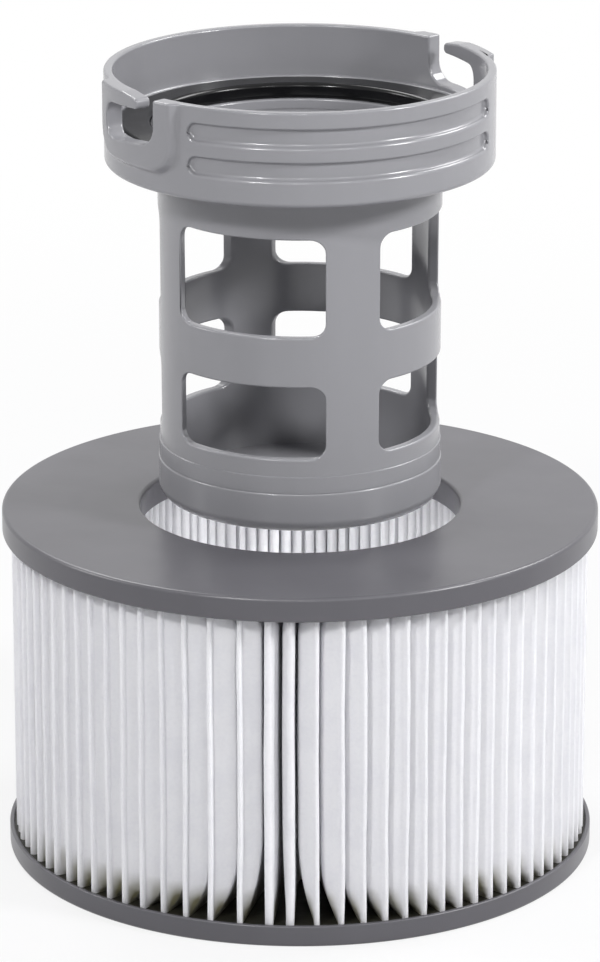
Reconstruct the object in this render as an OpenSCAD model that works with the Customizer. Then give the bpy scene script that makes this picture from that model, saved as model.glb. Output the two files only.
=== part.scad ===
// Spa filter cartridge with its lift-out bayonet holder.
// Origin at the centre of the cartridge's resting face, +Z up, millimetres.
// The holder is drawn lifted out of the cartridge, straight above its bore.
// Angles round the axis are counted from -Y towards +X.

/* [Cartridge] */
// Height of the cartridge over both end caps
cartridge_h = 92.5; // [60:0.5:160]
// Diameter of the bore through both end caps
cap_bore_d = 82.6; // [80:0.2:88]
// Flat web thickness of an end cap
cap_web_t = 2.4; // [1.5:0.1:4]
// Height of the top end cap's outer skirt
top_skirt_h = 6.2; // [5.4:0.1:12]
// Height of the bottom end cap's outer skirt
bottom_skirt_h = 5.6; // [5.4:0.1:12]
// Wall of the top end cap's skirt
top_skirt_t = 1.8; // [1:0.1:4]
// Wall of the bottom end cap's skirt
bottom_skirt_t = 1.2; // [1:0.1:4]
// Height of the collar round an end cap's bore
collar_h = 7; // [5.4:0.1:12]
// Wall of the collar
collar_t = 1.3; // [1:0.1:3]
// Rounding of the end caps' outer edges
cap_edge_r = 1; // [0.3:0.1:2]
// Rounding of the end caps' bore mouths
bore_lip_r = 0.9; // [0.3:0.1:1]

/* [Pleats and potting] */
// Radial depth of a pleat
pleat_depth = 32; // [20:0.5:45]
// Number of pleats round the pack
pleat_count = 88; // [40:1:110]
// Thickness of the filter fabric
fabric_t = 0.7; // [0.4:0.05:1]
// Open slit inside a folded tip
fold_slit = 0.5; // [0.2:0.05:0.8]
// Depth of the potting resin in an end cap
potting_t = 2.6; // [1.5:0.1:3]
// Depth that the pleat ends are bedded in the potting
bedding = 1.4; // [0.5:0.1:1.4]

/* [Bayonet head] */
// Wall of the socket
head_t = 2.3; // [2:0.1:4]
// How far the socket's wall steps in round the sealing ring
socket_step = 1; // [0.8:0.1:2]
// Height of the head from its underside to the rim
head_h = 24; // [23:0.1:26]
// Depth of the socket down to the step round the sealing ring
socket_depth = 13.2; // [12:0.1:14]
// Rounding of the rim
rim_r = 0.8; // [0.3:0.1:1]
// Rounding of the head's lower edge
under_r = 1.4; // [0.3:0.1:1.6]
// Wall left inside and above the hollow in the underside
under_wall = 2.6; // [1.8:0.1:2.8]
// Wall left outside the hollow in the underside
rim_wall = 4.1; // [3:0.1:5]
// Number of ribs across the hollow in the underside
rib_count = 12; // [4:1:24]
// Thickness of those ribs
rib_t = 1.6; // [1:0.1:3]
// Height of the throat above the tube's flange
throat_h = 2.4; // [2:0.1:2.8]

/* [Bayonet slots] */
// Angle of the first slot's middle
slot_angle = -34; // [-60:1:0]
// Width of a slot, from its open side to its closed end
slot_w = 21; // [16:0.5:26]
// Width of the slot's entrance in the rim
entrance_w = 5.5; // [3:0.1:8]
// Depth of the slot under the entrance
slot_depth = 11.8; // [10:0.1:13]
// Extra depth at the slot's closed end, which draws the head down
slot_drop = 1.8; // [0:0.1:2]
// Height of the hook over the slot at its tip
hook_h = 3.4; // [2.6:0.1:4]
// Extra height of the hook at its root
hook_rise = 0.9; // [0:0.1:1.5]
// Width of the raised border beside the entrance
border_side = 5.3; // [3:0.1:8]
// Width of the raised border past the closed end
border_end = 4; // [2:0.1:6]
// Height of the raised border under the slot
border_under = 4; // [2:0.1:4.5]
// How far the border stands out from the wall
border_out = 2; // [0.5:0.1:3]

/* [Grip channels] */
// Height of a grip channel
channel_h = 5.1; // [3:0.1:5.4]
// Depth of a grip channel
channel_d = 1.2; // [0.4:0.1:1.3]
// Distance from the rim down to the first channel
channel_top = 4.3; // [3:0.1:5]
// Distance from one channel to the next
channel_pitch = 8.4; // [7.5:0.1:9]
// Angle from a slot's middle to the channels' first end
channel_gap = 23; // [21:1:40]
// Angle that a channel covers
channel_sweep = 106; // [30:1:120]

/* [Cage tube] */
// Height of the holder from the floor's underside to the rim
holder_h = 112; // [105:0.5:140]
// Gap all round between the tube and the cartridge bore
bore_play = 5.1; // [1:0.1:8]
// Wall of the tube
tube_t = 2.4; // [2:0.1:3]
// Draft: how much smaller the tube's radius is at the bottom
tube_draft = 0.3; // [0:0.1:0.6]
// Width of the flange on the tube's top end
flange_w = 1; // [0.6:0.1:1]
// Thickness of the flange
flange_t = 2; // [1.5:0.1:2.2]
// Radial play of the flange in the head's throat
flange_play = 0.2; // [0.1:0.05:0.5]
// Angle that a bar between two windows covers
bar_angle = 24.4; // [16:0.2:40]
// Corner radius of a window
window_r = 3.5; // [1:0.1:5]
// Lower edge of the upper windows, above the floor's underside
upper_window_z = 51.2; // [46:0.1:56]
// Height of the upper windows
upper_window_h = 25.1; // [20:0.1:26]
// Lower edge of the lower windows, above the floor's underside
lower_window_z = 19.5; // [16:0.1:22]
// Height of the lower windows
lower_window_h = 18.7; // [10:0.1:22]

/* [Floor cup] */
// Height of the cup that closes the tube
cup_h = 10.6; // [6:0.1:14]
// Thickness of the floor
floor_t = 2; // [1.2:0.1:4]
// How far the cup stands out from the tube
cup_step = 0.5; // [0.1:0.1:1]
// Wall of the cup
cup_t = 1.5; // [1:0.1:1.6]
// Rounding of the cup's bottom edge
cup_edge_r = 2.6; // [0.5:0.1:2.8]
// Number of drain slots in the floor
drain_count = 6; // [3:1:8]
// Radius of the circle that the drain slots lie on
drain_circle_r = 11.5; // [8:0.1:20]
// Length of a drain slot
drain_l = 6.3; // [3:0.1:8]
// Width of a drain slot
drain_w = 1.5; // [1:0.1:3]

/* [Sealing ring] */
// Width of the sealing ring
ring_w = 8.4; // [5:0.1:12]
// Thickness of the sealing ring
ring_t = 4.1; // [2:0.1:5]
// How far the sealing ring's face lies below the step round it
ring_sink = 0.1; // [0:0.05:0.5]
// Rounding of the sealing ring's edges
ring_r = 1; // [0.2:0.1:1]
// Radial play of the sealing ring in the socket
ring_play = 0.2; // [0.05:0.05:0.5]

/* [Assembly] */
// Height of the holder's floor above the top end cap
lift = 3; // [1:0.5:40]
// Play between parts that are welded or glued together
joint_play = 0.1; // [0.05:0.05:0.2]
// Gap between the pleats and the end caps' walls
pleat_gap = 0.3; // [0.2:0.05:0.5]

/* [Hidden] */
$fn = 180;
round_steps = 8;
over = 1;

grey_cap = "#6f6e73";
grey_holder = "#8b8b8e";
resin = "#a7a59c";
fabric_white = "#eeeef2";
rubber_black = "#151517";

cap_bore_r = cap_bore_d / 2;
collar_r = cap_bore_r + collar_t;
pleat_in_r = collar_r + pleat_gap;
pleat_out_r = pleat_in_r + pleat_depth;
skirt_in_r = pleat_out_r + pleat_gap;
pleat_step = 360 / pleat_count;
pleat_z0 = cap_web_t + potting_t - bedding;
pleat_z1 = cartridge_h - pleat_z0;

holder_z = cartridge_h + lift;
tube_top_r = cap_bore_r - bore_play;
tube_low_r = tube_top_r - tube_draft;
neck_r = tube_top_r + joint_play;
flange_r = tube_top_r + flange_w;
throat_r = flange_r + flange_play;
pocket_r = throat_r + ring_w + 2 * ring_play;
socket_r = pocket_r + socket_step;
head_r = socket_r + head_t;
pad_r = head_r + border_out;
under_z = holder_h - head_h;
step_z = holder_h - socket_depth;
seat_z = step_z - ring_sink - ring_t;
flange_z = seat_z - throat_h - flange_t;
window_half = tube_top_r * sin(45 - bar_angle / 2);
cup_r = tube_low_r + cup_step;
cup_in_r = cup_r - cup_t;
slot_bottom = slot_depth + slot_drop;

// Points of a round corner about c, from angle a0 to a1
function arc_points(c, r, a0, a1, steps = round_steps) = [
    for (i = [0:steps])
        let (a = a0 + (a1 - a0) * i / steps)
        [c[0] + r * cos(a), c[1] + r * sin(a)]
];

// A point at radius r and angle a
function polar(r, a) = [r * cos(a), r * sin(a)];

// Angle in degrees that a length s covers at radius r
function arc_angle(s, r) = s / r * 180 / PI;

// Turns its children from the -Y side to an angle, and lifts them to the holder
module at_holder(a = 0) {
    translate([0, 0, holder_z])
        rotate([0, 0, a])
            children();
}

// Stands a flat outline up, facing -Y, and sweeps it outwards from r0 to r1
module sweep_out(r0, r1) {
    rotate([90, 0, 0])
        translate([0, 0, r0])
            linear_extrude(r1 - r0)
                children();
}

// Outline of a rectangle about the origin, with round corners
function round_rect(w, h, r) = [
    for (corner = [[1, 1, 0], [-1, 1, 90], [-1, -1, 180], [1, -1, 270]])
        each arc_points(
            [corner[0] * (w / 2 - r), corner[1] * (h / 2 - r)],
            r,
            corner[2],
            corner[2] + 90
        )
];

// ---- End caps: a tray with a skirt outside and a collar round the bore ----

module end_cap(skirt_h, skirt_t) {
    skirt_out_r = skirt_in_r + skirt_t;
    lip_c = [cap_bore_r + bore_lip_r, bore_lip_r];
    edge_c = [skirt_out_r - cap_edge_r, cap_edge_r];
    tip_r = skirt_t / 3;
    rotate_extrude()
        polygon(concat(
            arc_points(lip_c, bore_lip_r, 180, 270),
            arc_points(edge_c, cap_edge_r, 270, 360),
            arc_points([skirt_out_r - tip_r, skirt_h - tip_r], tip_r, 0, 90, 4),
            [[skirt_in_r, skirt_h]],
            [[skirt_in_r, cap_web_t]],
            [[collar_r, cap_web_t]],
            [[collar_r, collar_h]],
            [[cap_bore_r, collar_h]]
        ));
}

module bottom_end_cap() {
    color(grey_cap)
        end_cap(bottom_skirt_h, bottom_skirt_t);
}

module top_end_cap() {
    color(grey_cap)
        translate([0, 0, cartridge_h])
            mirror([0, 0, 1])
                end_cap(top_skirt_h, top_skirt_t);
}

// ---- Pleated media: one closed band of fabric, folded out and in ----

// Outline of the folded band's outer side, or of its inner side with in = 1.
// grow thickens the band on both sides, for the bed that it leaves in the potting.
function pleat_outline(in, grow) = [
    for (i = [0:pleat_count - 1])
        let (
            out_r = pleat_out_r + grow - in * (fabric_t + 2 * grow),
            root_r = pleat_in_r - grow + (1 - in) * (fabric_t + 2 * grow),
            out_half = fold_slit / 2 - grow + (1 - in) * (fabric_t + 2 * grow),
            root_half = fold_slit / 2 - grow + in * (fabric_t + 2 * grow),
            a_out = arc_angle(out_half, out_r),
            a_root = arc_angle(root_half, root_r),
            ridge = i * pleat_step,
            root = ridge + pleat_step / 2
        )
        each [
            polar(out_r, ridge - a_out),
            polar(out_r, ridge + a_out),
            polar(root_r, root - a_root),
            polar(root_r, root + a_root)
        ]
];

module pleat_band(z0, z1, grow = 0) {
    translate([0, 0, z0])
        difference() {
            linear_extrude(z1 - z0)
                polygon(pleat_outline(0, grow));
            translate([0, 0, -over])
                linear_extrude(z1 - z0 + 2 * over)
                    polygon(pleat_outline(1, grow));
        }
}

module pleated_media() {
    color(fabric_white)
        pleat_band(pleat_z0, pleat_z1);
}

// Resin in one end cap, with the bed that the pleat ends leave in it
module potting() {
    bed_z = pleat_z0 - joint_play / 2;
    difference() {
        translate([0, 0, cap_web_t])
            difference() {
                cylinder(h = potting_t, r = skirt_in_r - joint_play / 2);
                translate([0, 0, -over])
                    cylinder(h = potting_t + 2 * over, r = collar_r + joint_play / 2);
            }
        pleat_band(bed_z, cap_web_t + potting_t + over, joint_play / 2);
    }
}

module bottom_potting() {
    color(resin)
        potting();
}

module top_potting() {
    color(resin)
        translate([0, 0, cartridge_h])
            mirror([0, 0, 1])
                potting();
}

// ---- Bayonet head: socket, flat underside, two hooked slots and grip channels ----

// Section of the head's solid, without its borders, slots and channels
module head_section() {
    polygon(concat(
        [[neck_r, under_z]],
        arc_points([head_r - under_r, under_z + under_r], under_r, 270, 360),
        arc_points([head_r - rim_r, holder_h - rim_r], rim_r, 0, 90, 5),
        arc_points([socket_r + rim_r, holder_h - rim_r], rim_r, 90, 180, 5),
        [[socket_r, step_z]],
        [[pocket_r, step_z]],
        [[pocket_r, seat_z]],
        [[throat_r, seat_z]],
        [[throat_r, flange_z]],
        [[neck_r, flange_z]]
    ));
}

// Hollow in the underside, crossed by ribs, which keeps the moulding's walls even
module under_hollow() {
    r0 = throat_r + under_wall;
    r1 = head_r - rim_wall;
    top_z = seat_z - under_wall;
    difference() {
        rotate_extrude()
            translate([r0, under_z - over])
                square([r1 - r0, top_z - under_z + over]);
        for (i = [0:rib_count - 1])
            rotate([0, 0, i * 360 / rib_count])
                translate([r0 - over, -rib_t / 2, under_z - 2 * over])
                    cube([r1 - r0 + 2 * over, rib_t, head_h]);
    }
}

// Outline of one bayonet slot: entrance at the right, hook over the left
module slot_outline() {
    half = slot_w / 2;
    turn_r = 5;
    end_r = 3.6;
    tip_r = 1.25;
    hook_run = 5;
    root_h = hook_h + hook_rise;
    tip_x = half - entrance_w;
    polygon(concat(
        [[half, over]],
        arc_points([half - turn_r, -slot_depth + turn_r], turn_r, 0, -90),
        arc_points([-half + end_r, -slot_bottom + end_r], end_r, -90, -180),
        arc_points([-half + end_r, -root_h - end_r], end_r, 180, 90),
        arc_points([tip_x - tip_r, -hook_h + tip_r], tip_r, -90, 90),
        [[tip_x - tip_r - hook_run, 0]],
        [[tip_x - tip_r - hook_run, over]]
    ));
}

// Outline of the raised border round one slot
module border_outline() {
    left = -slot_w / 2 - border_end;
    right = slot_w / 2 + border_side;
    low = -slot_bottom - border_under;
    corner_r = 7;
    polygon(concat(
        [[left, -rim_r]],
        arc_points([left + corner_r, low + corner_r], corner_r, 180, 270),
        arc_points([right - corner_r, low + corner_r], corner_r, 270, 360),
        [[right, -rim_r]]
    ));
}

module slot_borders() {
    for (side = [0, 180])
        intersection() {
            rotate([0, 0, slot_angle + side])
                translate([0, 0, holder_h])
                    sweep_out(socket_r * 0.8, pad_r + over)
                        border_outline();
            difference() {
                cylinder(h = holder_h, r = pad_r);
                translate([0, 0, -over])
                    cylinder(h = holder_h + 2 * over, r = (socket_r + head_r) / 2);
            }
        }
}

module slot_cuts() {
    for (side = [0, 180])
        rotate([0, 0, slot_angle + side])
            translate([0, 0, holder_h])
                sweep_out(socket_r * 0.8, pad_r + over)
                    slot_outline();
}

// One grip channel of the wall, with round ends; z is its lower edge.
// The end cutters are a touch smaller than the channel, so that no faces only graze.
module grip_channel(start, z) {
    floor_r = head_r - channel_d;
    end_a = arc_angle(channel_h / 2, head_r);
    rotate([0, 0, start + end_a - 90])
        rotate_extrude(angle = channel_sweep - 2 * end_a)
            translate([floor_r, z])
                square([channel_d + over, channel_h]);
    for (a = [start + end_a, start + channel_sweep - end_a])
        intersection() {
            rotate([0, 0, a])
                translate([0, 0, z + channel_h / 2])
                    sweep_out(floor_r * 0.9, head_r + over)
                        circle(d = channel_h - joint_play, $fn = 48);
            difference() {
                cylinder(h = holder_h, r = head_r + 2 * over);
                translate([0, 0, -over])
                    cylinder(h = holder_h + 2 * over, r = floor_r);
            }
        }
}

module bayonet_head() {
    color(grey_holder)
        at_holder()
            difference() {
                union() {
                    rotate_extrude()
                        head_section();
                    slot_borders();
                }
                slot_cuts();
                under_hollow();
                for (side = [0, 180], row = [0, 1])
                    grip_channel(
                        slot_angle + side + channel_gap,
                        holder_h - channel_top - channel_h - row * channel_pitch
                    );
            }
}

// ---- Cage tube: drops into the head's throat and hangs on its flange ----

module cage_tube() {
    tube_in_top = tube_top_r - tube_t;
    tube_in_low = tube_low_r - tube_t;
    spigot_r = cup_in_r - joint_play;
    color(grey_holder)
        at_holder()
            difference() {
                rotate_extrude()
                    polygon([
                        [tube_in_low, floor_t],
                        [spigot_r, floor_t],
                        [spigot_r, cup_h],
                        [tube_low_r, cup_h],
                        [tube_top_r, flange_z],
                        [flange_r, flange_z],
                        [flange_r, flange_z + flange_t],
                        [tube_in_top, flange_z + flange_t]
                    ]);
                for (side = [0:90:270])
                    rotate([0, 0, side]) {
                        window_cut(upper_window_z, upper_window_h);
                        window_cut(lower_window_z, lower_window_h);
                    }
            }
}

// One window's cut through the tube's -Y side; z is its lower edge
module window_cut(z, h) {
    translate([0, 0, z + h / 2])
        sweep_out(tube_top_r / 2, tube_top_r + over)
            polygon(round_rect(2 * window_half, h, window_r));
}

// ---- Floor cup: welded over the tube's lower end ----

module floor_cup() {
    color(grey_holder)
        at_holder()
            difference() {
                rotate_extrude()
                    polygon(concat(
                        [[0, 0]],
                        arc_points([cup_r - cup_edge_r, cup_edge_r], cup_edge_r, 270, 360),
                        [[cup_r, cup_h]],
                        [[cup_in_r, cup_h]],
                        [[cup_in_r, floor_t]],
                        [[0, floor_t]]
                    ));
                for (i = [0:drain_count - 1])
                    rotate([0, 0, slot_angle + (i + 0.5) * 360 / drain_count])
                        translate([0, -drain_circle_r, 0])
                            drain_slot();
            }
}

module drain_slot() {
    run = drain_l - drain_w;
    for (side = [-1, 1])
        translate([side * run / 2, 0, -over])
            cylinder(h = floor_t + 2 * over, d = drain_w, $fn = 32);
    translate([-run / 2, -drain_w / 2, -over])
        cube([run, drain_w, floor_t + 2 * over]);
}

// ---- Sealing ring: flat rubber ring on the socket's seat ----

module sealing_ring() {
    in_r = throat_r + ring_play;
    out_r = in_r + ring_w;
    color(rubber_black)
        at_holder()
            translate([0, 0, seat_z])
                rotate_extrude()
                    polygon(concat(
                        arc_points([in_r + ring_r, ring_r], ring_r, 180, 270, 5),
                        arc_points([out_r - ring_r, ring_r], ring_r, 270, 360, 5),
                        arc_points([out_r - ring_r, ring_t - ring_r], ring_r, 0, 90, 5),
                        arc_points([in_r + ring_r, ring_t - ring_r], ring_r, 90, 180, 5)
                    ));
}

bottom_end_cap();
top_end_cap();
bottom_potting();
top_potting();
pleated_media();
bayonet_head();
cage_tube();
floor_cup();
sealing_ring();
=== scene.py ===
"""Looks of a spa filter cartridge and its lift-out bayonet holder.

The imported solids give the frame. Every piece here is built round the same upright axis, with
sizes in millimetres that become metres as its mesh is made. Angles round the axis are counted
from -Y towards +X.
"""

import logging
import math
import random
from collections.abc import Callable, Iterable, Sequence
from dataclasses import dataclass
from enum import Enum

import bmesh
import bpy
from bmesh.types import BMEdge, BMesh, BMFace, BMVert
from bpy.types import ID, Material, Node, NodeSocket, NodeTree, Object, World
from mathutils import Matrix, Vector


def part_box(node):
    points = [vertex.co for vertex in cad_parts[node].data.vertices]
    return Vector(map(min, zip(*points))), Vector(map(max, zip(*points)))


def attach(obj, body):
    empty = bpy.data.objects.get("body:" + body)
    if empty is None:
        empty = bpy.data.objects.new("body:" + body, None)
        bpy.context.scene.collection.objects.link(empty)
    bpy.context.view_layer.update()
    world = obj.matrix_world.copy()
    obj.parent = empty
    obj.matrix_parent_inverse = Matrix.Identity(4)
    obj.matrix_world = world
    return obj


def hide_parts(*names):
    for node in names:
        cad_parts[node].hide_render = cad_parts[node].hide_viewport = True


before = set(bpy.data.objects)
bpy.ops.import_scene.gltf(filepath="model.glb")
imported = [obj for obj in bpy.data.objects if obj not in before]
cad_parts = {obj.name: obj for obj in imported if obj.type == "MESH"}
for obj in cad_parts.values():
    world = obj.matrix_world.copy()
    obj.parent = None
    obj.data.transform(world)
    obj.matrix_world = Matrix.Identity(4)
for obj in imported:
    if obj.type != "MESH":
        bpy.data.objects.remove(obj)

LOG = logging.getLogger("filter_cartridge")
MM = 0.001
WELD = 1e-6
# Points this close in metres count as lying on the same line
NEAR = 0.01 * MM
# How far a cutting tool stands out past a wall, and past a rim or a floor, in mm
CLEAR, REACH = 2.0, 3.0
# What a full rounding leaves of a straight side, so that its ends don't meet, in mm
ALMOST = 0.02
# How far joined shells run into each other, in mm
OVERLAP = 0.4
RING_STEPS = 240
# How strongly large faces draw the shading of their corners, up to 100
EVEN_WEIGHT = 80
# Nearly all values of a noise texture lie between these two
NOISE_LOW, NOISE_HIGH = 0.3, 0.7
WHITE = "#ffffff"

Outline = Sequence[tuple[float, float]]
Corners = Sequence[tuple[float, float, float]]
Inputs = dict[str | int, object]


class Cut(Enum):
    """How a tool solid changes the solid that it is combined with."""

    ADD = "UNION"
    REMOVE = "DIFFERENCE"


class BodyName(Enum):
    """The rigid bodies that pieces ride on."""

    CARTRIDGE = "cartridge"
    HOLDER = "holder"


# ---- Node and colour helpers ----


def linear(hex_colour: str) -> tuple[float, float, float, float]:
    """Turns an sRGB hex colour into linear RGBA.

    Args:
        hex_colour: Six hex digits after a hash sign.

    Returns:
        The linear colour with full alpha.
    """
    values = [int(hex_colour[i : i + 2], 16) / 255 for i in (1, 3, 5)]
    rgb = [v / 12.92 if v <= 0.04045 else ((v + 0.055) / 1.055) ** 2.4 for v in values]
    return (rgb[0], rgb[1], rgb[2], 1.0)


def feed(tree: NodeTree, node: Node, inputs: Inputs) -> None:
    """Fills a node's inputs with values, or links them to the outputs that feed them."""
    for key, value in inputs.items():
        if isinstance(value, NodeSocket):
            tree.links.new(value, node.inputs[key])
        else:
            node.inputs[key].default_value = value


def add_node(tree: NodeTree, kind: str, inputs: Inputs | None = None, **settings: object) -> Node:
    """Adds a node, sets its properties and fills its inputs.

    Args:
        tree: The node tree that takes the node.
        kind: The node's type name.
        inputs: Socket name or number to a value, or to the output socket that feeds it.
        **settings: Properties of the node.

    Returns:
        The new node.
    """
    node = tree.nodes.new(kind)
    for key, value in settings.items():
        setattr(node, key, value)
    feed(tree, node, inputs or {})
    return node


def open_tree(owner: Material | World) -> NodeTree:
    """Turns on the nodes of a material or a world and returns its emptied tree."""
    owner.use_nodes = True
    owner.node_tree.nodes.clear()
    return owner.node_tree


def per_size(size_mm: float) -> float:
    """Turns the real size of a pattern's feature, in mm, into a texture scale per metre."""
    return 1 / (size_mm * MM)


# ---- Finishes ----


@dataclass(frozen=True)
class Finish:
    """A procedural finish with a base colour, a roughness and an IOR.

    Attributes:
        name: The material's name.
        slot: The record's material slot. It is not used.
        colour: Base colour as sRGB hex.
        roughness: Mean roughness of the surface.
        ior: Index of refraction.
    """

    name: str
    slot: str
    colour: str
    roughness: float
    ior: float

    def material(self) -> Material:
        """Returns the finish's material, which is made when it is first asked for."""
        found = bpy.data.materials.get(self.name)
        if found is not None:
            return found
        made = bpy.data.materials.new(self.name)
        tree = open_tree(made)
        shader = add_node(
            tree,
            "ShaderNodeBsdfPrincipled",
            {"Base Color": linear(self.colour), "Roughness": self.roughness, "IOR": self.ior},
        )
        place = add_node(tree, "ShaderNodeTexCoord").outputs["Object"]
        feed(tree, shader, self.dress(tree, place))
        add_node(tree, "ShaderNodeOutputMaterial", {"Surface": self.surface(tree, shader)})
        return made

    def dress(self, tree: NodeTree, place: NodeSocket) -> Inputs:
        """Adds the finish's own pattern, bump and gloss.

        Args:
            tree: The material's node tree.
            place: Object coordinates in metres.

        Returns:
            What the Principled shader takes from them.
        """
        raise NotImplementedError

    def surface(self, tree: NodeTree, shader: Node) -> NodeSocket:
        """Returns the socket that the material's output shows."""
        return shader.outputs["BSDF"]


@dataclass(frozen=True)
class MouldedPlastic(Finish):
    """Injection-moulded ABS or polypropylene: even colour, soft gloss and faint flow marks.

    Attributes:
        pale: The slightly paler colour of the flow marks.
        gloss_spread: How far the roughness wanders from its mean.
        flow_mm: Width of the flow marks.
        flow_stretch: Scale of the flow marks along the mould's opening, which draws them out.
        wave_mm: Size of the slow waves that sink marks leave in a flat wall.
        wave_depth: Height of those waves, in mm.
        grain_mm: Size of the mould's fine grain. It is drawn coarser than the real 0.1 mm.
        grain_depth: Height of the grain, in mm.
    """

    pale: str = WHITE
    gloss_spread: float = 0.03
    flow_mm: float = 12.0
    flow_stretch: float = 0.35
    wave_mm: float = 16.0
    wave_depth: float = 0.12
    grain_mm: float = 0.7
    grain_depth: float = 0.008

    def dress(self, tree: NodeTree, place: NodeSocket) -> Inputs:
        """Adds flow marks, uneven gloss, slow waves and the mould's grain. See Finish.dress."""
        drawn = add_node(
            tree, "ShaderNodeMapping", {"Vector": place, "Scale": (1, 1, self.flow_stretch)}
        )
        flow = add_node(
            tree,
            "ShaderNodeTexNoise",
            {"Vector": drawn.outputs[0], "Scale": per_size(self.flow_mm), "Detail": 3.0},
        ).outputs[0]
        tint = add_node(
            tree,
            "ShaderNodeMix",
            {0: flow, 6: linear(self.colour), 7: linear(self.pale)},
            data_type="RGBA",
        )
        gloss = add_node(
            tree,
            "ShaderNodeMapRange",
            {
                "Value": flow,
                "From Min": NOISE_LOW,
                "From Max": NOISE_HIGH,
                "To Min": self.roughness - self.gloss_spread,
                "To Max": self.roughness + self.gloss_spread,
            },
        )
        relief: Inputs = {}
        for size, detail, depth in (
            (self.wave_mm, 0.5, self.wave_depth),
            (self.grain_mm, 2.0, self.grain_depth),
        ):
            bumps = add_node(
                tree,
                "ShaderNodeTexNoise",
                {"Vector": place, "Scale": per_size(size), "Detail": detail},
            )
            relief |= {"Height": bumps.outputs[0], "Distance": depth * MM}
            relief["Normal"] = add_node(tree, "ShaderNodeBump", relief).outputs[0]
        return {
            "Base Color": tint.outputs[2],
            "Roughness": gloss.outputs[0],
            "Normal": relief["Normal"],
        }


@dataclass(frozen=True)
class NonWoven(Finish):
    """Spunbonded polyester: matt white felt of fine random fibres, pressed smooth.

    Some light passes through it. Low down and behind the ridges it carries a dark olive that is
    partly the potting resin's stain where it was dipped and partly painted shade in the recesses
    between the folds.

    Attributes:
        shade: The colour of the thinner spots between fibre bundles.
        stain_and_shade: The dark olive low between the folds: partly resin that has crept up,
            partly painted shade.
        stain_and_shade_high: Height over the resting face that the stain and painted shade reach,
            in mm.
        stain_and_shade_full: Height up to which the felt is painted fully dark, in mm.
        stain_and_shade_out: Distance from the axis past which the folds stay clean, so that only
            the recesses are darkened, in mm.
        stain_and_shade_edge: Width over which the stain and painted shade end there, in mm.
        thick_range: Densities at which the felt looks thin and thick.
        stain_and_shade_range: Mask values at which the felt looks clean and fully stained and
            shaded.
        fibre_mm: Spacing of the fibre bundles. Single fibres of 0.02 mm are too fine to show.
        fibre_depth: Height of the bundles, in mm.
        cloud_mm: Size of the clouds in which the fibres lie thicker.
        sheen: Weight of the sheen that loose fibre ends give.
        sheen_roughness: Roughness of that sheen.
        glow: Share of the light that passes through.
    """

    shade: str = "#eeeef2"
    stain_and_shade: str = "#67633f"
    stain_and_shade_high: float = 14.0
    stain_and_shade_full: float = 4.0
    stain_and_shade_out: float = 74.0
    stain_and_shade_edge: float = 2.0
    thick_range: tuple[float, float] = (0.08, 0.3)
    stain_and_shade_range: tuple[float, float] = (0.02, 0.3)
    fibre_mm: float = 0.9
    fibre_depth: float = 0.05
    cloud_mm: float = 7.0
    sheen: float = 0.15
    sheen_roughness: float = 0.6
    glow: float = 0.35

    def dress(self, tree: NodeTree, place: NodeSocket) -> Inputs:
        """Adds fibre bundles, thin spots, the stain with painted shade and a soft sheen. See
        Finish.dress.
        """
        bundles, clouds = (
            add_node(
                tree,
                "ShaderNodeTexNoise",
                {"Vector": place, "Scale": per_size(size), "Detail": detail},
            ).outputs[0]
            for size, detail in ((self.fibre_mm, 4.0), (self.cloud_mm, 2.0))
        )
        height = add_node(tree, "ShaderNodeSeparateXYZ", {0: place}).outputs[2]
        flat = add_node(
            tree, "ShaderNodeVectorMath", {0: place, 1: (1.0, 1.0, 0.0)}, operation="MULTIPLY"
        )
        out = add_node(tree, "ShaderNodeVectorMath", {0: flat.outputs[0]}, operation="LENGTH")
        dense = add_node(tree, "ShaderNodeMath", {0: bundles, 1: clouds}, operation="MULTIPLY")
        inner = (self.stain_and_shade_out - self.stain_and_shade_edge) * MM
        # Each row: a value, and where it stands for none and for all of what it masks
        thick, inside, low = (
            add_node(
                tree, "ShaderNodeMapRange", {"Value": value, "From Min": none, "From Max": full}
            ).outputs[0]
            for value, none, full in (
                (dense.outputs[0], *self.thick_range),
                (out.outputs["Value"], self.stain_and_shade_out * MM, inner),
                (height, self.stain_and_shade_high * MM, self.stain_and_shade_full * MM),
            )
        )
        # Dark olive low down and behind the ridges: partly resin stain, partly painted shade in the
        # recesses
        patchy = inside
        for mask in (low, clouds):
            patchy = add_node(
                tree, "ShaderNodeMath", {0: patchy, 1: mask}, operation="MULTIPLY"
            ).outputs[0]
        none, full = self.stain_and_shade_range
        stained_and_shaded = add_node(
            tree, "ShaderNodeMapRange", {"Value": patchy, "From Min": none, "From Max": full}
        ).outputs[0]
        tint = linear(self.shade)
        for share, colour in ((thick, self.colour), (stained_and_shaded, self.stain_and_shade)):
            tint = add_node(
                tree, "ShaderNodeMix", {0: share, 6: tint, 7: linear(colour)}, data_type="RGBA"
            ).outputs[2]
        relief = add_node(
            tree, "ShaderNodeBump", {"Height": bundles, "Distance": self.fibre_depth * MM}
        )
        return {
            "Base Color": tint,
            "Normal": relief.outputs[0],
            "Sheen Weight": self.sheen,
            "Sheen Roughness": self.sheen_roughness,
        }

    def surface(self, tree: NodeTree, shader: Node) -> NodeSocket:
        """Lets a share of the light through the felt."""
        through = add_node(tree, "ShaderNodeBsdfTranslucent", {"Color": linear(self.colour)})
        mix = add_node(
            tree,
            "ShaderNodeMixShader",
            {0: self.glow, 1: shader.outputs["BSDF"], 2: through.outputs[0]},
        )
        return mix.outputs[0]


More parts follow.
